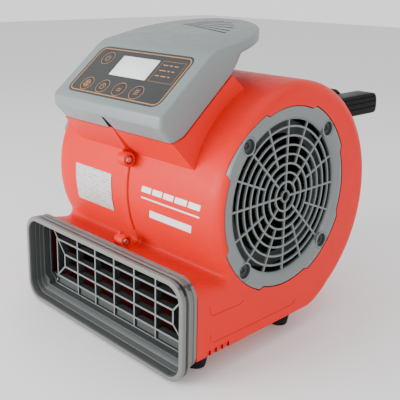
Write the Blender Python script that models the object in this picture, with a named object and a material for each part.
"""Portable centrifugal air mover: volute housing, console, fan, motor, nozzle, handle and feet.

Lengths below are in millimetres. Shapes are drawn in the fan's own frame, whose origin is the
middle of the fan axis: +X is the machine's right-hand side, -Y the air outlet, +Z up.
The finished model is in metres, with its origin on the floor under the middle of its box.
"""
import bpy
import bmesh
from math import asin, atan, cos, hypot, pi, radians, sin, sqrt
from mathutils import Matrix, Vector

# ---------------------------------------------------------------- driving dimensions
MM = 0.001
GAP = 0.3                      # clearance between touching pieces

SIDE_X = 168.0                 # outer side face of the housing and of the nozzle
SEAM = 0.15                    # half of the gap between the two housing halves
WALL = 3.0                     # housing wall
AXIS_HEIGHT = 199.0            # fan axis above the floor
NOZZLE_FRONT = -183.0
HANDLE_END = 238.0
FAN_Y = -(NOZZLE_FRONT + HANDLE_END) / 2

# volute: an arc about its own centre that grows towards the bottom
VOLUTE_Y, VOLUTE_Z = 20.0, -5.0
VOLUTE_START_R, VOLUTE_END_R = 146.0, 174.0
VOLUTE_FIRST_DEG, VOLUTE_GROW_DEG, VOLUTE_LAST_DEG = 204.0, 150.0, -60.0
DUCT_BOTTOM = -170.0
DUCT_TOP, DUCT_SLOPE = -74.0, 0.19   # height of the duct roof at its mouth, and its fall
DUCT_MOUTH = -159.3

# inlet grilles
RIM_R, LUG_R = 117.3, 122.3
BELL_OUT_R, BELL_IN_R, BELL_END = 104.2, 101.0, 158.0
RIM_DEPTH = 6.0
RING_SPACING = 12.0
HUB_RING_R = 7.3
RING_COUNT = 8
BAR_HALF = 1.25
LATTICE_FRONT, LATTICE_BACK = 163.4, 160.6
WELL_R, WELL_DEPTH, COLLAR_R, WELL_POS_R = 6.9, 4.2, 9.3, 111.0
DISH = ((163.8, BELL_IN_R), (165.6, 103.6), (167.3, 107.5), (SIDE_X, 111.5))
SCREW_HOLE_R = 2.4

# console: sloped front panel, flatter tail with a rounded end
CONSOLE_HALF = 110.0
PANEL_FRONT_Y, PANEL_FRONT_Z = -166.0, 115.0
PANEL_SLOPE = atan(0.83)
TAIL_START_Y = -83.0
TAIL_RISE = 0.21
TAIL_CENTRE_Y, TAIL_LENGTH = -30.0, 91.0
SHELL = 3.0

# display panel, in the panel's own u (right), v (up the slope) and n (out) directions
PANEL_HALF_U, PANEL_V0, PANEL_V1 = 93.0, 11.6, 96.7
LCD_U, LCD_V0, LCD_V1 = 36.4, 48.8, 84.4
RECESS = 1.8
OVERLAY_THICK = 1.2
BUTTON_R = 9.0
BUTTON_TRAVEL = 0.6
BUTTON_ROW_V, BUTTON_ROW_U0, BUTTON_PITCH = 28.5, -61.7, 33.8
POWER_U, POWER_V = -63.0, 75.6

# nozzle and outlet grille
NOZZLE_TOP, NOZZLE_BOTTOM = -66.0, -195.6
NOZZLE_CORNER = 27.0
NOZZLE_BACK = -159.6
SPIGOT_BACK = -145.0
SILL_HALF, SILL_BACK, SILL_LOW = 150.0, -146.3, -179.5
WINDOW_HALF, WINDOW_TOP, WINDOW_LOW = 155.0, -81.5, -176.5
BAR_FRONT = -151.5
BAR_THIN, BAR_DEPTH, FRAME_DEPTH, SPIGOT_CLEAR = 1.3, 10.0, 2.6, 9.0
BAR_PITCH = 42.2
BAR_ROWS = (-105.0, -124.4, -143.5, -162.3)
LOOP_A_U, LOOP_B_U = 136.0, 117.0

# fan and motor, along X
WHEEL_HALF, WHEEL_R, BLADE_IN_R = 146.0, 98.0, 80.0
BLADES = 28
SHAFT_R = 5.0
MOTOR_R = 52.0
BRACKET_SCREW_R = 113.0

# handle
ARM_IN, ARM_OUT = 113.0, 142.0
ARM_LOW, ARM_HIGH = 77.5, 108.0
GRIP_Y, GRIP_Z = 177.0, 99.5
GRIP_R, TENON_R = 14.5, 6.5
BOLT_Z = 92.0

# cable gland
GLAND_X, GLAND_Z, GLAND_HOLE_R = -70.0, -52.0, 9.0

# feet
FOOT_X, FOOT_FRONT_Y, FOOT_REAR_Y = 134.5, -128.0, 34.0
FOOT_TOP_R, FOOT_LOW_R = 17.6, 12.5

COLOURS = {
    "red": ((0.72, 0.045, 0.03, 1), 0.42, 0.0),
    "grey": ((0.33, 0.36, 0.36, 1), 0.5, 0.0),
    "nozzle": ((0.31, 0.31, 0.28, 1), 0.5, 0.0),
    "black": ((0.02, 0.02, 0.02, 1), 0.55, 0.0),
    "rubber": ((0.015, 0.015, 0.015, 1), 0.85, 0.0),
    "membrane": ((0.085, 0.09, 0.09, 1), 0.4, 0.0),
    "lens": ((0.72, 0.75, 0.73, 1), 0.1, 0.0),
    "steel": ((0.6, 0.6, 0.6, 1), 0.3, 1.0),
    "board": ((0.02, 0.16, 0.06, 1), 0.5, 0.0),
    "plate": ((0.55, 0.55, 0.54, 1), 0.35, 0.6),
    "iron": ((0.2, 0.2, 0.21, 1), 0.5, 0.8),
    "film": ((0.75, 0.75, 0.72, 1), 0.4, 0.0),
}


# ---------------------------------------------------------------- mesh helpers (millimetres)
def clear_scene():
    for item in list(bpy.data.objects):
        bpy.data.objects.remove(item, do_unlink=True)


def material(name):
    found = bpy.data.materials.get(name)
    if found:
        return found
    colour, rough, metal = COLOURS[name]
    made = bpy.data.materials.new(name)
    made.use_nodes = True
    shader = made.node_tree.nodes["Principled BSDF"]
    shader.inputs["Base Color"].default_value = colour
    shader.inputs["Roughness"].default_value = rough
    shader.inputs["Metallic"].default_value = metal
    return made


def loft(loops, closed_path=False):
    """Skin between loops of equal length; the ends are capped unless the path closes on itself."""
    bm = bmesh.new()
    rows = [[bm.verts.new(p) for p in loop] for loop in loops]
    count = len(loops[0])
    steps = len(rows) if closed_path else len(rows) - 1
    for k in range(steps):
        low, high = rows[k], rows[(k + 1) % len(rows)]
        for i in range(count):
            j = (i + 1) % count
            bm.faces.new((low[i], low[j], high[j], high[i]))
    if not closed_path:
        bm.faces.new(rows[0][::-1])
        bm.faces.new(rows[-1])
    bmesh.ops.recalc_face_normals(bm, faces=bm.faces)
    return bm


def prism(outline, low, high, axis="X"):
    """Extrude a 2-D outline along X, Y or Z; the outline's two numbers are the other two axes."""
    order = {"X": lambda a, b, c: (c, a, b), "Y": lambda a, b, c: (a, c, b),
             "Z": lambda a, b, c: (a, b, c)}[axis]
    return loft([[order(a, b, c) for a, b in outline] for c in (low, high)])


def box(x0, x1, y0, y1, z0, z1):
    return prism([(x0, y0), (x1, y0), (x1, y1), (x0, y1)], z0, z1, "Z")


def circle(radius, count, u=0.0, v=0.0, start=0.0):
    return [(u + radius * cos(start + 2 * pi * i / count),
             v + radius * sin(start + 2 * pi * i / count)) for i in range(count)]


def rounded_rect(u0, u1, v0, v1, radius, steps=4, low_radius=None):
    low = radius if low_radius is None else low_radius
    corners = ((u1 - radius, v1 - radius, 0, radius), (u0 + radius, v1 - radius, 90, radius),
               (u0 + low, v0 + low, 180, low), (u1 - low, v0 + low, 270, low))
    points = []
    for cu, cv, start, r in corners:
        for i in range(steps + 1):
            a = radians(start + 90 * i / steps)
            points.append((cu + r * cos(a), cv + r * sin(a)))
    return points


def tube(x0, x1, inner, outer, count=32, y=0.0, z=0.0):
    """Ring about an axis along X."""
    def ring(x, r):
        return [(x, a, b) for a, b in circle(r, count, y, z)]
    return loft([ring(x0, outer), ring(x1, outer), ring(x1, inner), ring(x0, inner)], True)


def rod(x0, x1, radius, count=24, y=0.0, z=0.0):
    return prism(circle(radius, count, y, z), x0, x1, "X")


def turned(profile, count=24, y=0.0, z=0.0):
    """Solid of (x, r) steps about an axis along X."""
    return loft([[(x, a, b) for a, b in circle(r, count, y, z)] for x, r in profile])


def stacked(meshes):
    """Put separate shells into one mesh without joining them."""
    total = bmesh.new()
    for bm in meshes:
        mesh = bpy.data.meshes.new("stack")
        bm.to_mesh(mesh)
        bm.free()
        total.from_mesh(mesh)
        bpy.data.meshes.remove(mesh)
    return total


def turn(bm, matrix):
    bmesh.ops.transform(bm, matrix=matrix, verts=bm.verts)
    return bm


def mirrored(bm):
    """Mirror in the X = 0 plane."""
    bmesh.ops.transform(bm, matrix=Matrix.Scale(-1, 4, (1, 0, 0)), verts=bm.verts)
    bmesh.ops.reverse_faces(bm, faces=bm.faces)
    return bm


def temporary(bm):
    mesh = bpy.data.meshes.new("work")
    bm.to_mesh(mesh)
    bm.free()
    item = bpy.data.objects.new("work", mesh)
    bpy.context.scene.collection.objects.link(item)
    return item


def combine(base, tool, operation):
    first, second = temporary(base), temporary(tool)
    modifier = first.modifiers.new("shape", "BOOLEAN")
    modifier.operation = operation
    modifier.solver = "EXACT"
    modifier.object = second
    graph = bpy.context.evaluated_depsgraph_get()
    graph.update()
    mesh = bpy.data.meshes.new_from_object(first.evaluated_get(graph))
    result = bmesh.new()
    result.from_mesh(mesh)
    for item in (first, second):
        bpy.data.objects.remove(item, do_unlink=True)
    return result


def cut(base, *tools):
    for tool in tools:
        base = combine(base, tool, "DIFFERENCE")
    return base


def join(base, *tools):
    for tool in tools:
        base = combine(base, tool, "UNION")
    return base


def publish(name, bm, look, origin=(0.0, FAN_Y, AXIS_HEIGHT), parent=None, sharp=40):
    """Turn a millimetre mesh in the fan frame into a finished object, in metres."""
    bmesh.ops.remove_doubles(bm, verts=bm.verts, dist=0.0005)
    bmesh.ops.dissolve_degenerate(bm, dist=0.0005, edges=bm.edges)
    bmesh.ops.scale(bm, vec=(MM, MM, MM), verts=bm.verts)
    mesh = bpy.data.meshes.new(name)
    bm.to_mesh(mesh)
    bm.free()
    mesh.materials.append(material(look))
    mesh.shade_smooth()
    mesh.set_sharp_from_angle(angle=radians(sharp))
    item = bpy.data.objects.new(name, mesh)
    item.location = Vector(origin) * MM
    item.parent = parent
    bpy.context.scene.collection.objects.link(item)
    return item


# ---------------------------------------------------------------- volute outline
def bezier(a, b, c, steps):
    """Points after a up to c on the curve that b pulls."""
    points = []
    for i in range(1, steps + 1):
        t = i / steps
        points.append(tuple((1 - t) ** 2 * p + 2 * t * (1 - t) * q + t * t * r
                            for p, q, r in zip(a, b, c)))
    return points


def volute_radius(degrees):
    grown = max(0.0, (VOLUTE_GROW_DEG - degrees) / (VOLUTE_GROW_DEG - VOLUTE_LAST_DEG))
    return VOLUTE_START_R + (VOLUTE_END_R - VOLUTE_START_R) * grown ** 1.4


def volute_point(degrees, extra=0.0):
    r = volute_radius(degrees) + extra
    return (VOLUTE_Y + r * cos(radians(degrees)), VOLUTE_Z + r * sin(radians(degrees)))


def edge_radii(degrees):
    """Radius of the side edge, across the outline and along X."""
    back = min(1.0, max(0.0, (150 - degrees) / 90))
    return 9 + 10 * back, 22 - 3 * back


def duct_roof(y):
    return DUCT_TOP - DUCT_SLOPE * (y - DUCT_MOUTH)


def housing_outline():
    """(y, z, edge radius across, edge radius along X) from the mouth's top round to its floor."""
    step = 12.0
    count = int((VOLUTE_FIRST_DEG - VOLUTE_LAST_DEG) / step)
    arc = [VOLUTE_FIRST_DEG - step * i for i in range(count + 1)]
    crease = bezier((-122.0, duct_roof(-122.0)), (-101.0, duct_roof(-101.0)), volute_point(arc[0]), 4)
    points = [(DUCT_MOUTH, DUCT_TOP, 20, 20), (-140.0, duct_roof(-140.0), 16, 20),
              (-122.0, duct_roof(-122.0), 12, 21)]
    points += [(y, z, 9, 22) for y, z in crease]
    points += [volute_point(a) + edge_radii(a) for a in arc[1:]]
    y, z = volute_point(arc[-1])
    points += [(a, b, 19 - 5 * i, 19 - 5 * i)
               for i, (a, b) in enumerate(bezier((y, z), (y - 26, DUCT_BOTTOM), (y - 52, DUCT_BOTTOM), 3), 1)]
    points += [(0.0, DUCT_BOTTOM, 3, 3), (-145.7, DUCT_BOTTOM, 2, 2), (DUCT_MOUTH, DUCT_BOTTOM, 2, 2)]
    return points


def inward(points):
    """Unit normals of the outline that point into the housing; vertical at the mouth."""
    normals = []
    last = len(points) - 1
    for i in range(len(points)):
        a, b = points[max(i - 1, 0)], points[min(i + 1, last)]
        dy, dz = b[0] - a[0], b[1] - a[1]
        size = hypot(dy, dz)
        normals.append((dz / size, -dy / size))
    normals[0] = (0.0, -1.0)
    normals[-1] = normals[-2] = (0.0, 1.0)
    return normals


def side_loops(points, normals, depth, seam_x, steps=(0, 30, 60, 90)):
    """Loops from the seam plane over the rounded edge to the side face, set in by depth."""
    loops = [[(seam_x, p[0] + n[0] * depth, p[1] + n[1] * depth) for p, n in zip(points, normals)]]
    for degrees in steps:
        c, s = cos(radians(degrees)), sin(radians(degrees))
        loop = []
        for (y, z, across, along), (ny, nz) in zip(points, normals):
            ra, rx = max(across - depth, 0.6), max(along - depth, 0.6)
            d = depth + ra * (1 - c)
            loop.append((SIDE_X - depth - rx * (1 - s), y + ny * d, z + nz * d))
        loops.append(loop)
    return loops


def housing_shell():
    points = housing_outline()
    normals = inward(points)
    outer = side_loops(points, normals, 0.0, SEAM)
    inner = side_loops(points, normals, WALL, SEAM, (0, 45, 90))
    bm = bmesh.new()
    out = [[bm.verts.new(p) for p in loop] for loop in outer]
    inn = [[bm.verts.new(p) for p in loop] for loop in inner]
    last = len(points) - 1
    for skin in (out, inn):
        for low, high in zip(skin, skin[1:]):
            for i in range(last):
                bm.faces.new((low[i], low[i + 1], high[i + 1], high[i]))
    for i in range(last):
        bm.faces.new((out[0][i], inn[0][i], inn[0][i + 1], out[0][i + 1]))
    bm.faces.new(out[-1])
    bm.faces.new(inn[-1][::-1])
    mouth = [loop[0] for loop in out] + [loop[last] for loop in reversed(out)]
    mouth += [loop[last] for loop in inn] + [loop[0] for loop in reversed(inn)]
    bm.faces.new(mouth)
    bmesh.ops.recalc_face_normals(bm, faces=bm.faces)
    return bm


def housing_hull(depth):
    """Solid of the housing's outer shape, set in by depth."""
    points = housing_outline()
    loops = side_loops(points, inward(points), depth, 100.0)
    return loft(loops)


# ---------------------------------------------------------------- inlet rim outline with its four lugs
def rim_outline(extra=0.0):
    """Rim outline (y, z): round, with a wider lug about each diagonal."""
    offsets = (-24, -21, -7, 7, 21, 24, 38, 52)
    points = []
    for quadrant in range(4):
        for offset in offsets:
            radius = (LUG_R if abs(offset) < 22 else RIM_R) + extra
            a = radians(45 + 90 * quadrant + offset)
            points.append((radius * cos(a), radius * sin(a)))
    return points


def diagonal_points(radius):
    return [(radius * cos(radians(a)), radius * sin(radians(a))) for a in (45, 135, 225, 315)]


def cross_points(radius):
    return [(radius * cos(radians(a)), radius * sin(radians(a))) for a in (0, 90, 180, 270)]


# ---------------------------------------------------------------- housing halves
def neck_outline(inset):
    """Side outline (y, z) of the neck between drum and console, walls set in by inset."""
    lift = 2.0 if inset else 0.0
    top = [(-147.6 + inset * 1.25, 81.1 + lift), (-129.0, 87.1 + lift), (-49.0 - inset, 154.1 + lift)]
    sunk = 0.8 if inset else -1.5
    drum = [volute_point(a, sunk) for a in (109, 118, 127, 136, 145, 154)]
    front = volute_point(160.0, sunk)
    return top + [(y - inset * (i == 0), z) for i, (y, z) in enumerate(drum)] + [(front[0] + inset * 0.5, front[1])]


def neck():
    """Open-topped neck whose sides lean out towards the drum."""
    bm = cut(prism(neck_outline(0.0), SEAM, 110.5), prism(neck_outline(WALL), -5.0, 107.5))
    for v in bm.verts:
        if v.co.x > 50.0:
            v.co.x += 0.09 * max(0.0, 87.1 + 0.8375 * (v.co.y + 129.0) - v.co.z)
    return bm


def inlet_ring():
    """Thick ring behind the inlet grille, kept inside the housing's outer shape."""
    ring = tube(SIDE_X - 10.3, SIDE_X + 2, 105.2, 125.5, 32)
    return combine(ring, housing_hull(0.4), "INTERSECT")


def screw_posts():
    return stacked([rod(149.0, SIDE_X - 9, 5.4, 8, y, z) for y, z in diagonal_points(WELL_POS_R)])


def seam_boss(y, z, toward_y, toward_z):
    """Half of a screw boss on the seam, with the web that ties it to the wall."""
    dy, dz = toward_y - y, toward_z - z
    size = hypot(dy, dz)
    ny, nz = -dz / size * 5, dy / size * 5
    web = prism([(y + ny, z + nz), (y - ny, z - nz), (toward_y - ny, toward_z - nz),
                 (toward_y + ny, toward_z + nz)], SEAM, 7.0, "X")
    return join(rod(SEAM, 11.0, 10.0, 16, y, z), web)


SEAM_BOSSES = ((-131.5, 40.5, -121.0, 34.0), (-137.5, -71.0, -132.5, -81.0))


def notches():
    """Small square drain notches in the bottom edge of the side wall."""
    return stacked([box(160.0, 170.0, y, y + 5, -174.0, -165.0) for y in (-141.0, -130.0, -119.0, -108.0)])


def housing_half():
    shell = housing_shell()
    shell = join(shell, neck(), inlet_ring(), screw_posts())
    for boss in SEAM_BOSSES:
        shell = join(shell, seam_boss(*boss))
    hollow = [rod(SEAM - 1, 8.0, 2.4, 8, b[0], b[1]) for b in SEAM_BOSSES]
    hollow += [rod(6.0, 13.0, 6.0, 12, b[0], b[1]) for b in SEAM_BOSSES]
    inlet = rod(140.0, SIDE_X + 3, 105.2, 32)
    recess = prism(rim_outline(GAP + 0.1), SIDE_X - RIM_DEPTH - GAP, SIDE_X + 5)
    pilots = stacked([rod(152.0, SIDE_X, SCREW_HOLE_R, 8, y, z) for y, z in diagonal_points(WELL_POS_R)])
    shell = cut(shell, inlet, recess, pilots, notches())
    for tool in hollow:
        shell = cut(shell, tool)
    floor_gap = box(-1.0, SILL_HALF + GAP, DUCT_MOUTH - 2, SILL_BACK + GAP, DUCT_BOTTOM - 2,
                    DUCT_BOTTOM + WALL + 0.5)
    return cut(shell, floor_gap, handle_bolt_hole(), foot_screw_holes())


def handle_bolt_hole():
    x = (ARM_IN + ARM_OUT) / 2
    return prism(circle(3.4, 8, x, BOLT_Z), 100.0, 170.0, "Y")


def foot_screw_holes():
    return stacked([prism(circle(2.4, 8, FOOT_X, y), DUCT_BOTTOM - 5, DUCT_BOTTOM + 8, "Z")
                    for y in (FOOT_FRONT_Y, FOOT_REAR_Y)])


def left_half(bm):
    """Left half: the mirrored shell, with the hole for the cable gland."""
    bm = mirrored(bm)
    gland = prism(circle(GLAND_HOLE_R, 16, GLAND_X, GLAND_Z), 150.0, 205.0, "Y")
    bracket = stacked([rod(-170.0, -145.0, SCREW_HOLE_R, 8, y, z) for y, z in cross_points(BRACKET_SCREW_R)])
    return cut(bm, gland, bracket)


def build_housing():
    right = housing_half()
    left = left_half(right.copy())
    publish("housing_right", right, "red")
    publish("housing_left", left, "red")


# ---------------------------------------------------------------- inlet grilles
def grille_rim():
    """Rim plate and bell mouth: one closed section carried round the lugged outline."""
    outline = rim_outline()
    section = ((SIDE_X, None), (SIDE_X - RIM_DEPTH, None), (SIDE_X - RIM_DEPTH, BELL_OUT_R),
               (BELL_END, BELL_OUT_R), (BELL_END, BELL_IN_R)) + DISH
    loops = []
    for x, radius in section:
        loop = []
        for y, z in outline:
            scale = 1.0 if radius is None else radius / hypot(y, z)
            loop.append((x, y * scale, z * scale))
        loops.append(loop)
    return loft(loops, True)


def spoke_start(index):
    """Ring at which spoke number index begins."""
    if index % 4 == 0:
        return 0
    return 1 if index % 2 == 0 else 3


def ring_columns(ring):
    """Angles round one ring, as (angle, side) where side marks the two edges of a spoke."""
    columns = []
    for i in range(16):
        a = 2 * pi * i / 16
        if spoke_start(i) <= ring:
            columns += [(i, a, -1), (i, a, 1)]
        elif ring > 0 or i % 4 == 2:
            columns.append((i, a, 0))
    return columns


def lattice():
    """Rings and spokes as one grid of cells, so that every crossing is a true joint."""
    bm = bmesh.new()
    front, back = LATTICE_FRONT, LATTICE_BACK

    def row(radius, columns):
        pairs = []
        for i, a, side in columns:
            turned_by = a + side * asin(min(0.9, BAR_HALF / radius))
            y, z = radius * cos(turned_by), radius * sin(turned_by)
            pairs.append((bm.verts.new((front, y, z)), bm.verts.new((back, y, z))))
        return pairs

    def cell(a, b, c, d, open_sides):
        """Front and back faces between four (front, back) pairs, and the walls asked for."""
        for k in (0, 1):
            bm.faces.new((a[k], b[k], c[k], d[k]))
        for p, q in open_sides:
            bm.faces.new((p[0], q[0], q[1], p[1]))

    def is_spoke(columns, c):
        here, after = columns[c], columns[(c + 1) % len(columns)]
        return here[2] == -1 and after[0] == here[0]

    outer_row, outer_columns = None, None
    for ring in range(RING_COUNT + 1):
        columns = ring_columns(min(ring, RING_COUNT - 1))
        middle = HUB_RING_R + RING_SPACING * ring
        inside = row(middle - BAR_HALF if ring < RING_COUNT else BELL_IN_R - 0.6, columns)
        outside = row(middle + BAR_HALF if ring < RING_COUNT else BELL_IN_R + 1.4, columns)
        count = len(columns)
        for c in range(count):
            d = (c + 1) % count
            walls = []
            if not (ring and is_spoke(columns, c) and spoke_start(columns[c][0]) < ring):
                walls.append((inside[c], inside[d]))
            if ring == RING_COUNT or not is_spoke(columns, c):
                walls.append((outside[c], outside[d]))
            cell(inside[c], outside[c], outside[d], inside[d], walls)
        if outer_row:
            for c in range(len(outer_columns)):
                if not is_spoke(outer_columns, c):
                    continue
                i = outer_columns[c][0]
                e = [k for k, item in enumerate(columns) if item[0] == i and item[2] == -1][0]
                near = (outer_row[c], outer_row[(c + 1) % len(outer_columns)])
                far = (inside[e], inside[(e + 1) % count])
                cell(near[0], far[0], far[1], near[1], ((near[0], far[0]), (near[1], far[1])))
        outer_row, outer_columns = outside, columns
    bmesh.ops.recalc_face_normals(bm, faces=bm.faces)
    return bm


def inlet_grille():
    collars = stacked([rod(SIDE_X - RIM_DEPTH + 0.5, SIDE_X - 0.2, COLLAR_R, 20, y, z)
                       for y, z in diagonal_points(WELL_POS_R)])
    grille = join(grille_rim(), lattice(), collars)
    wells = stacked([rod(SIDE_X - WELL_DEPTH, SIDE_X + 2, WELL_R, 16, y, z)
                     for y, z in diagonal_points(WELL_POS_R)])
    holes = stacked([rod(SIDE_X - 10, SIDE_X, SCREW_HOLE_R, 8, y, z)
                     for y, z in diagonal_points(WELL_POS_R)])
    return cut(grille, wells, holes)


def screw(head_face, shank_end, head_r=4.2, shank_r=2.0, head_height=2.6, y=0.0, z=0.0):
    """Pan-head screw along X: the head's flat face is at head_face, the tip at shank_end."""
    way = 1 if shank_end > head_face else -1
    under = head_face
    profile = [(under - way * head_height, head_r * 0.7), (under, head_r), (under, shank_r),
               (shank_end, shank_r)]
    return turned(profile, 8, y, z)


def build_grilles():
    right = inlet_grille()
    left = mirrored(right.copy())
    publish("inlet_grille_right", right, "grey")
    publish("inlet_grille_left", left, "grey")
    for side, name in ((1, "right"), (-1, "left")):
        for i, (y, z) in enumerate(diagonal_points(WELL_POS_R), 1):
            bm = screw(SIDE_X - 3.9, 153.5, y=y, z=z)
            if side < 0:
                bm = mirrored(bm)
            publish("grille_screw_%s_%d" % (name, i), bm, "steel")


# ---------------------------------------------------------------- nozzle and outlet grille
def nozzle_loop(y, inset, bottom):
    outline = rounded_rect(-SIDE_X + inset, SIDE_X - inset, bottom + inset, NOZZLE_TOP - inset,
                           NOZZLE_CORNER - inset, 4, NOZZLE_CORNER - inset - 0.5 * (bottom - NOZZLE_BOTTOM))
    return [(x, y, z) for x, z in outline]


def spigot_loop(y, inset):
    outline = rounded_rect(-164.6 + inset, 164.6 - inset, -166.6 + inset, duct_roof(y) - WALL - 1.0 - inset,
                           20 - inset, 4, 3)
    return [(x, y, z) for x, z in outline]


def window_outline(spread):
    """Window in the nozzle's rear wall: full width above the duct floor, chamfered below it."""
    half, sill = WINDOW_HALF + spread, SILL_HALF - 6.0 + spread
    top, low = WINDOW_TOP + spread, WINDOW_LOW - spread
    return [(half, -163.5), (half, top - 10), (half - 10, top), (10 - half, top), (-half, top - 10),
            (-half, -163.5), (-sill, -169.5), (-sill, low), (sill, low), (sill, -169.5)]


def nozzle():
    """Front frame with its groove and rib, the spigot in the duct, and the sill below the floor."""
    section = ((NOZZLE_FRONT, 1.5, -195.6), (-181.0, 0, -195.6), (-177.5, 0, -195.6), (-176.5, 3.5, -195.0),
               (-173.5, 3.5, -194.5), (-172.5, 0.5, -194.0), (-169.5, 0.5, -192.5), (-168.5, 2.0, -191.0),
               (-164.0, 2.0, -185.0), (NOZZLE_BACK, 0.8, -180.5))
    front = loft([nozzle_loop(*row) for row in section])
    spigot = loft([spigot_loop(y, 0.0) for y in (NOZZLE_BACK - 1.5, SPIGOT_BACK)])
    sill = box(-SILL_HALF, SILL_HALF, NOZZLE_BACK - 2, SILL_BACK, SILL_LOW, -160.0)
    body = join(front, spigot, sill)
    mouth = loft([[(x, y, z) for x, z in rounded_rect(-h, h, low, top, r)]
                  for y, h, low, top, r in ((-190.0, 161.5, -189.0, -72.5, 21.0),
                                            (-172.0, 161.5, -188.0, -72.5, 21.0),
                                            (-163.0, 158.5, -178.7, -80.0, 14.0),
                                            (-161.4, 158.3, -178.3, -80.3, 14.0))])
    window = prism(window_outline(0.0), -163.0, -150.5, "Y")
    seat = prism(window_outline(1.0), -152.0, BAR_FRONT + 3.0, "Y")
    body = cut(body, mouth, window)
    rear = loft([spigot_loop(y, 2.2) for y in (-152.0, SPIGOT_BACK + 2)])
    return cut(body, rear, seat, low_pocket())


def low_pocket():
    """Room behind the window's lower part, closed at the back by the sill's rear wall."""
    return box(-SILL_HALF + 2, SILL_HALF - 2, -152.0, SILL_BACK - 2.0, SILL_LOW + 1.6, -150.0)


def bar_box(u0, v0, u1, v1, half, y0, y1):
    """Straight bar between two points of the outlet plane."""
    du, dv = u1 - u0, v1 - v0
    size = hypot(du, dv)
    nu, nv = -dv / size * half, du / size * half
    return prism([(u0 + nu, v0 + nv), (u0 - nu, v0 - nv), (u1 - nu, v1 - nv), (u1 + nu, v1 + nv)],
                 y0, y1, "Y")


def outlet_grille():
    """Snap-in frame behind the window, with deep bars, two loops and corner struts."""
    y0, y1, deep = BAR_FRONT, BAR_FRONT + FRAME_DEPTH, BAR_FRONT + BAR_DEPTH
    frame = cut(prism(window_outline(0.6), y0, y1, "Y"), prism(window_outline(-1.5), y0 - 1, y1 + 1, "Y"))
    bars = []
    for u in [BAR_PITCH * k for k in range(-2, 3)]:
        bars.append(bar_box(u, WINDOW_LOW + 0.3, u, WINDOW_TOP - 0.3, BAR_THIN, y0 + 0.1, y1))
        bars.append(bar_box(u, BAR_ROWS[3], u, WINDOW_TOP - SPIGOT_CLEAR, BAR_THIN, y0 + 0.2, deep))
    rows = zip(BAR_ROWS, (LOOP_A_U, LOOP_B_U, LOOP_B_U, LOOP_A_U))
    bars += [bar_box(-u, z, u, z, BAR_THIN, y0 + 0.2, deep - 0.1) for z, u in rows]
    for s in (-1, 1):
        for u, top, low in ((LOOP_A_U, BAR_ROWS[0], BAR_ROWS[3]), (LOOP_B_U, BAR_ROWS[1], BAR_ROWS[2])):
            bars.append(bar_box(s * u, top + BAR_THIN, s * u, low - BAR_THIN, BAR_THIN, y0 + 0.3, deep - 0.2))
        bars.append(bar_box(s * 150.5, -86.0, s * LOOP_B_U, BAR_ROWS[1], 1.2, y0 + 0.4, y1 - 0.3))
        bars.append(bar_box(s * 142.8, -175.0, s * LOOP_B_U, BAR_ROWS[2], 1.2, y0 + 0.4, y1 - 0.3))
    return join(frame, *bars)


def build_outlet():
    publish("nozzle", nozzle(), "nozzle")
    publish("outlet_grille", outlet_grille(), "grey")


# ---------------------------------------------------------------- console
def ridge(y):
    """Height of the console's top edge."""
    if y < TAIL_START_Y:
        return PANEL_FRONT_Z + (y - PANEL_FRONT_Y) * 0.83
    return PANEL_FRONT_Z + (TAIL_START_Y - PANEL_FRONT_Y) * 0.83 + TAIL_RISE * (y - TAIL_START_Y)


def band_low(y):
    """Height of the lower edge of the band that runs round the console."""
    if y < -54.0:
        return 101.5 + 0.68 * (y - PANEL_FRONT_Y)
    return 177.7 + TAIL_RISE * (y + 54.0)


def plan_half(y):
    """Half width of the console in plan."""
    if y <= TAIL_CENTRE_Y:
        return CONSOLE_HALF
    return CONSOLE_HALF * sqrt(max(0.0, 1 - ((y - TAIL_CENTRE_Y) / TAIL_LENGTH) ** 2))


def console_stations():
    """Right-hand points of each cross-section: top edge, band edge, skirt edge."""
    rows = [((107.0, PANEL_FRONT_Y, PANEL_FRONT_Z), (107.0, PANEL_FRONT_Y, 101.5), (106.0, -148.0, 82.0)),
            ((110.0, -162.5, ridge(-162.5)), (110.0, -162.5, band_low(-162.5)), (108.5, -144.0, 82.6))]
    skirt = ((-129.0, 88.0), (-105.0, 108.2), (TAIL_START_Y, 126.6), (-66.0, 140.8), (-49.0, 155.0))
    for y, low in skirt:
        rows.append(((CONSOLE_HALF, y, ridge(y)), (CONSOLE_HALF, y, band_low(y)), (108.5, y, low)))
    rows.append(((CONSOLE_HALF, -38.0, ridge(-38)), (CONSOLE_HALF, -38.0, band_low(-38)), (107.0, -38.0, 167.0)))
    for y in (-27.0, -8.0, 10.0, 26.0, 40.0, 50.0, 57.0, 60.4):
        half = plan_half(y)
        under = max(half - 6, 4.0)
        rows.append(((half, y, ridge(y)), (half, y, band_low(y)),
                     (under, min(y, 55.5), band_low(min(y, 55.5)) - 3.5)))
    return rows


def console_skin():
    """Outer surface of the console, open underneath."""
    bm = bmesh.new()
    right = [[bm.verts.new(p) for p in row] for row in console_stations()]
    left = [[bm.verts.new((-p[0], p[1], p[2])) for p in row] for row in console_stations()]
    for k in range(len(right) - 1):
        bm.faces.new((left[k][0], right[k][0], right[k + 1][0], left[k + 1][0]))
        for i in (0, 1):
            bm.faces.new((right[k][i], right[k][i + 1], right[k + 1][i + 1], right[k + 1][i]))
            bm.faces.new((left[k][i + 1], left[k][i], left[k + 1][i], left[k + 1][i + 1]))
    for k in (0, len(right) - 1):
        for i in (0, 1):
            bm.faces.new((left[k][i], left[k][i + 1], right[k][i + 1], right[k][i]))
    bmesh.ops.recalc_face_normals(bm, faces=bm.faces)
    return bm


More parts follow.
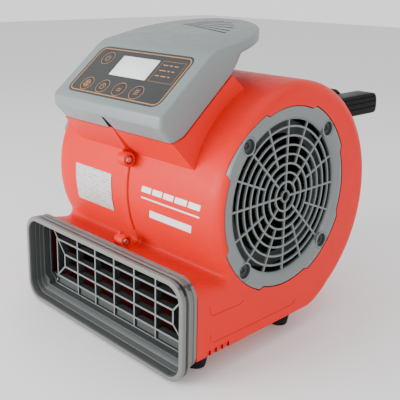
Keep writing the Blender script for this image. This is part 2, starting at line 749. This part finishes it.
def thickened(bm, thickness):
    """Give an open skin its wall, on the inside."""
    item = temporary(bm)
    modifier = item.modifiers.new("wall", "SOLIDIFY")
    modifier.thickness = thickness
    modifier.offset = -1
    modifier.use_even_offset = True
    graph = bpy.context.evaluated_depsgraph_get()
    graph.update()
    result = bmesh.new()
    result.from_mesh(bpy.data.meshes.new_from_object(item.evaluated_get(graph)))
    bpy.data.objects.remove(item, do_unlink=True)
    bmesh.ops.recalc_face_normals(result, faces=result.faces)
    return result


def panel_matrix():
    """Panel frame (u, v, n) placed in the fan frame."""
    c, s = cos(PANEL_SLOPE), sin(PANEL_SLOPE)
    return Matrix(((1, 0, 0, 0), (0, c, -s, PANEL_FRONT_Y), (0, s, c, PANEL_FRONT_Z), (0, 0, 0, 1)))


def panel_solid(outline, low, high):
    return prism(outline, low, high, "Z")


def button_centres():
    row = [(BUTTON_ROW_U0 + BUTTON_PITCH * i, BUTTON_ROW_V) for i in range(4)]
    return [("power", POWER_U, POWER_V)] + [(n, u, v) for n, (u, v) in
                                            zip(("fan", "timer", "hours", "minutes"), row)]


def vent_slots():
    return stacked([box(-46.0 + 2 * k, 52.0 - 8 * k * (k > 3), 4.0 + 8 * k, 6.2 + 8 * k, 185.0, 230.0)
                    for k in range(5)])


def console_cover():
    shell = thickened(console_skin(), SHELL)
    tools = [rounded_rect(-PANEL_HALF_U, PANEL_HALF_U, PANEL_V0, PANEL_V1, 13, 4)]
    recess = panel_solid(tools[0], -RECESS, 8.0)
    window = panel_solid(rounded_rect(-34, 34, LCD_V0 + 2.4, LCD_V1 - 2.4, 1, 1), -8.0, 5.0)
    holes = stacked([panel_solid(circle(BUTTON_R + 0.5, 16, u, v), -8.0, 5.0)
                     for _, u, v in button_centres()])
    place = panel_matrix()
    return cut(shell, turn(recess, place), turn(window, place), turn(holes, place), vent_slots())


def console_base():
    """Bottom plate: sloped over the neck, then flatter under the tail."""
    line = [(-138.0, 92.0), (-128.0, 94.5), (-52.0, 158.3), (-34.0, 177.5), (46.0, 193.5)]
    outline = line + [(y - 1.2, z + 2.4) for y, z in reversed(line)]
    plate = prism(outline, -120.0, 120.0, "X")
    ys = [-142.0, -100.0, -60.0, -34.0, -20.0, -5.0, 10.0, 22.0, 32.0, 40.0, 46.0]
    edge = [(min(plan_half(y) - 10.0, 98.0), y) for y in ys]
    plan = edge + [(-x, y) for x, y in reversed(edge)]
    return combine(plate, prism(plan, 60.0, 240.0, "Z"), "INTERSECT")


def build_console():
    publish("console_cover", console_cover(), "grey")
    publish("console_base", console_base(), "grey")


def build_panel():
    """Pieces on and under the sloped panel, parented to its own frame."""
    frame = bpy.data.objects.new("panel_frame", None)
    frame.matrix_world = Matrix.Translation((0, (FAN_Y + PANEL_FRONT_Y) * MM,
                                             (AXIS_HEIGHT + PANEL_FRONT_Z) * MM)) @ \
        Matrix.Rotation(PANEL_SLOPE, 4, "X")
    bpy.context.scene.collection.objects.link(frame)
    here = {"origin": (0, 0, 0), "parent": frame}
    top = -RECESS + GAP + OVERLAY_THICK
    outline = rounded_rect(-PANEL_HALF_U + GAP, PANEL_HALF_U - GAP, PANEL_V0 + GAP, PANEL_V1 - GAP, 12.7, 4)
    overlay = panel_solid(outline, -RECESS + GAP, top)
    lens_hole = panel_solid(rounded_rect(-LCD_U, LCD_U, LCD_V0, LCD_V1, 1, 1), -9.0, 5.0)
    holes = stacked([panel_solid(circle(BUTTON_R + 0.4, 16, u, v), -9.0, 5.0) for _, u, v in button_centres()])
    publish("membrane_overlay", cut(overlay, lens_hole, holes), "membrane", **here)
    lens = panel_solid(rounded_rect(-LCD_U + GAP, LCD_U - GAP, LCD_V0 + GAP, LCD_V1 - GAP, 0.7, 1),
                       -RECESS + GAP, top)
    publish("lcd_window", lens, "lens", **here)
    publish("lcd_module", box(-33, 33, LCD_V0 + 3, LCD_V1 - 3, -11.6, -3.4), "lens", **here)
    publish("display_board", box(-80, 80, 16.0, 91.0, -13.5, -11.9), "board", **here)
    publish("power_board", box(-62, 62, 28.0, 92.0, -34.0, -32.4), "board", **here)
    for name, u, v in button_centres():
        cap = [[(a, b, n) for a, b in circle(r, 16)] for n, r in
               ((-9.6, 2.0), (-4.4, 2.0), (-4.4, 11.0), (-3.3, 11.0), (-3.3, BUTTON_R), (top, BUTTON_R))]
        publish("button_" + name, loft(cap), "membrane", origin=(u, v, 0), parent=frame)
        publish("switch_" + name, box(u - 3, u + 3, v - 3, v + 3, -11.6, -9.6 - BUTTON_TRAVEL - 0.2),
                "black", **here)


# ---------------------------------------------------------------- fan and motor
def wheel():
    """Double-inlet blower wheel: centre plate, blades and end rings as one grid of cells."""
    xs = [-WHEEL_HALF, -WHEEL_HALF + 4, -2.0, 2.0, WHEEL_HALF - 4, WHEEL_HALF]
    columns = []
    for i in range(BLADES):
        a = 2 * pi * i / BLADES
        columns += [a - 0.012, a + 0.012]
    bm = bmesh.new()
    verts = {}

    def vert(j, outer, c):
        c %= len(columns)
        key = (j, outer, c)
        if key not in verts:
            r = WHEEL_R if outer else BLADE_IN_R
            a = columns[c] + (0.0 if outer else 0.09)
            verts[key] = bm.verts.new((xs[j], r * cos(a), r * sin(a)))
        return verts[key]

    def filled(j, c):
        return 0 <= j < 5 and (j in (0, 2, 4) or c % 2 == 0)

    for j in range(5):
        for c in range(len(columns)):
            if not filled(j, c):
                continue
            for outer in (True, False):
                if j == 2 and not outer:
                    continue
                bm.faces.new((vert(j, outer, c), vert(j + 1, outer, c), vert(j + 1, outer, c + 1),
                              vert(j, outer, c + 1)))
            for step, at in ((-1, j), (1, j + 1)):
                if not filled(j + step, c):
                    bm.faces.new((vert(at, True, c), vert(at, True, c + 1), vert(at, False, c + 1),
                                  vert(at, False, c)))
            for step, at in ((-1, c), (1, c + 1)):
                if not filled(j, (c + step) % len(columns)):
                    bm.faces.new((vert(j, True, at), vert(j + 1, True, at), vert(j + 1, False, at),
                                  vert(j, False, at)))
    hub = [(2.0, 18.0), (14.0, 16.0), (14.0, SHAFT_R + GAP), (-6.0, SHAFT_R + GAP), (-6.0, 16.0), (-2.0, 18.0)]
    count = len(columns)
    rings = [[vert(3, False, c) for c in range(count)]]
    for x, r in hub:
        rings.append([bm.verts.new((x, r * cos(a), r * sin(a))) for a in columns])
    rings.append([vert(2, False, c) for c in range(count)])
    for low, high in zip(rings, rings[1:]):
        for c in range(count):
            d = (c + 1) % count
            bm.faces.new((low[c], low[d], high[d], high[c]))
    bmesh.ops.recalc_face_normals(bm, faces=bm.faces)
    return bm


def motor_can():
    """Cup with the front bearing seat; its open end faces the bracket."""
    profile = ((-150.0, MOTOR_R), (-64.0, MOTOR_R), (-62.0, MOTOR_R - 2), (-62.0, 6.6), (-66.0, 6.6),
               (-66.0, 13.4), (-75.0, 13.4), (-75.0, 16.5), (-66.0, 16.5), (-66.0, MOTOR_R - 2.5),
               (-150.0, MOTOR_R - 2.5))
    return loft([[(x, a, b) for a, b in circle(r, 24)] for x, r in profile], True)


def motor_bracket():
    """End plate with the rear bearing seat and four arms to the inlet ring."""
    profile = ((-154.0, 60.0), (-150.4, 60.0), (-150.4, 16.8), (-140.0, 16.8), (-140.0, 13.4),
               (-151.0, 13.4), (-151.0, 6.6), (-154.0, 6.6))
    plate = loft([[(x, a, b) for a, b in circle(r, 24)] for x, r in profile], True)
    arms = []
    for i, a in enumerate((0, 90, 180, 270)):
        arm = box(-157.4, -153.2 + 0.01 * i, -7.0, 7.0, 52.0, 118.0)
        arms.append(turn(arm, Matrix.Rotation(radians(a), 4, "X")))
    plate = join(plate, *arms)
    holes = stacked([rod(-165.0, -150.0, SCREW_HOLE_R, 8, y, z) for y, z in cross_points(BRACKET_SCREW_R)])
    return cut(plate, holes)


def build_fan():
    publish("impeller", wheel(), "black")
    publish("motor_shaft", rod(-150.0, 26.0, SHAFT_R, 16), "steel")
    publish("rotor_core", tube(-134.0, -82.0, SHAFT_R + GAP, 30.0, 16), "iron")
    publish("impeller_nut", tube(14.3, 21.0, SHAFT_R + 0.9, 9.0, 6), "steel")
    publish("motor_can", motor_can(), "iron")
    publish("motor_bracket", motor_bracket(), "iron")
    publish("stator", tube(-132.0, -84.0, 32.0, MOTOR_R - 3.2, 24), "iron")
    publish("bearing_front", tube(-74.0, -66.4, SHAFT_R + GAP + 0.1, 13.0, 16), "steel")
    publish("bearing_rear", tube(-149.5, -141.5, SHAFT_R + GAP + 0.1, 13.0, 16), "steel")
    publish("run_capacitor", rod(15.0, 75.0, 10.5, 20, -112.0, 84.5), "film")
    for i, (y, z) in enumerate(cross_points(BRACKET_SCREW_R), 1):
        publish("bracket_screw_%d" % i, screw(-152.8, -161.2, y=y, z=z), "steel")


# ---------------------------------------------------------------- seam screws, handle, feet, trim
def build_fasteners():
    for name, boss in zip(("upper", "lower"), SEAM_BOSSES):
        publish("seam_screw_" + name, screw(6.3, -7.0, head_r=4.6, y=boss[0], z=boss[1]), "steel")


def drum_prism(extra, x0, x1):
    outline = [volute_point(a, extra) for a in range(204, -61, -12)]
    return prism(outline + [(20.0, -120.0), (-60.0, -100.0)], x0, x1)


def handle_arm():
    """Ribbed side arm that also works as a rear rest."""
    outline = [(120.0, ARM_LOW + 1), (HANDLE_END - 7, ARM_LOW), (HANDLE_END - 2, ARM_LOW + 5),
               (HANDLE_END, ARM_LOW + 12), (HANDLE_END - 3, ARM_HIGH - 5), (HANDLE_END - 9, ARM_HIGH),
               (110.0, ARM_HIGH)]
    arm = prism(outline, ARM_IN, ARM_OUT)
    grooves = stacked([box(ARM_OUT - 1.5, ARM_OUT + 2, 110.0, 250.0, z, z + 2) for z in (87.0, 95.0, 102.0)])
    bore = prism(circle(3.1, 8, (ARM_IN + ARM_OUT) / 2, BOLT_Z), 130.0, 176.0, "Y")
    seat = prism(circle(TENON_R + 0.4, 12, GRIP_Y, GRIP_Z), ARM_IN - 2, ARM_IN + 8)
    return cut(arm, grooves, bore, seat, drum_prism(GAP + 0.4, 90.0, 160.0))


def grip():
    """Hand grip between the arms, chamfered at each end, with a tenon into each arm."""
    steps = ((ARM_IN + 7, TENON_R), (ARM_IN - GAP, TENON_R), (ARM_IN - GAP, GRIP_R - 3.5), (ARM_IN - 6, GRIP_R))
    rings = list(steps) + [(-x, r) for x, r in reversed(steps)]
    return turned(rings, 12, GRIP_Y, GRIP_Z)


def build_handle():
    right = handle_arm()
    left = mirrored(right.copy())
    publish("handle_arm_right", right, "black")
    publish("handle_arm_left", left, "black")
    publish("handle_grip", grip(), "black")
    x = (ARM_IN + ARM_OUT) / 2
    for side, name in ((1, "right"), (-1, "left")):
        loops = [[(side * x + a, y, BOLT_Z + b) for a, b in circle(r, 8)]
                 for y, r in ((128.0, 5.0), (132.0, 5.5), (132.0, 2.6), (174.0, 2.6))]
        publish("handle_bolt_" + name, loft(loops), "steel")


def foot(x, y):
    """Tapered rubber foot with a post pressed up through the floor."""
    steps = ((-AXIS_HEIGHT, FOOT_LOW_R), (DUCT_BOTTOM - 7, FOOT_TOP_R - 1), (DUCT_BOTTOM - GAP, FOOT_TOP_R),
             (DUCT_BOTTOM - GAP, 1.9), (DUCT_BOTTOM + WALL + 4, 1.9))
    return loft([[(a, b, z) for a, b in circle(r, 16, x, y)] for z, r in steps])


def build_feet():
    for x, side in ((FOOT_X, "right"), (-FOOT_X, "left")):
        for y, end in ((FOOT_FRONT_Y, "front"), (FOOT_REAR_Y, "rear")):
            publish("foot_%s_%s" % (end, side), foot(x, y), "rubber")


def rating_plate():
    """Thin plate that follows the front of the drum, left of the seam."""
    degrees = [174.0 + 3 * i for i in range(8)]
    inner = [volute_point(a, GAP) for a in degrees]
    outer = [volute_point(a, GAP + 0.7) for a in reversed(degrees)]
    return prism(inner + outer, -118.0, -36.0)


def cable_gland():
    """Gland body outside the rear wall, its neck through it and its nut inside."""
    loops = [[(GLAND_X + a, y, GLAND_Z + b) for a, b in circle(r, 16)] for y, r in
             ((172.0, 8.4), (184.5, 8.4), (184.5, 12.0), (192.0, 12.0), (203.0, 8.5), (203.0, 4.2), (172.0, 4.2))]
    return loft(loops, True)


def build_trim():
    publish("rating_plate", rating_plate(), "plate")
    publish("cable_gland", cable_gland(), "black")


def main():
    clear_scene()
    build_housing()
    build_grilles()
    build_outlet()
    build_console()
    build_panel()
    build_fan()
    build_fasteners()
    build_handle()
    build_feet()
    build_trim()


main()
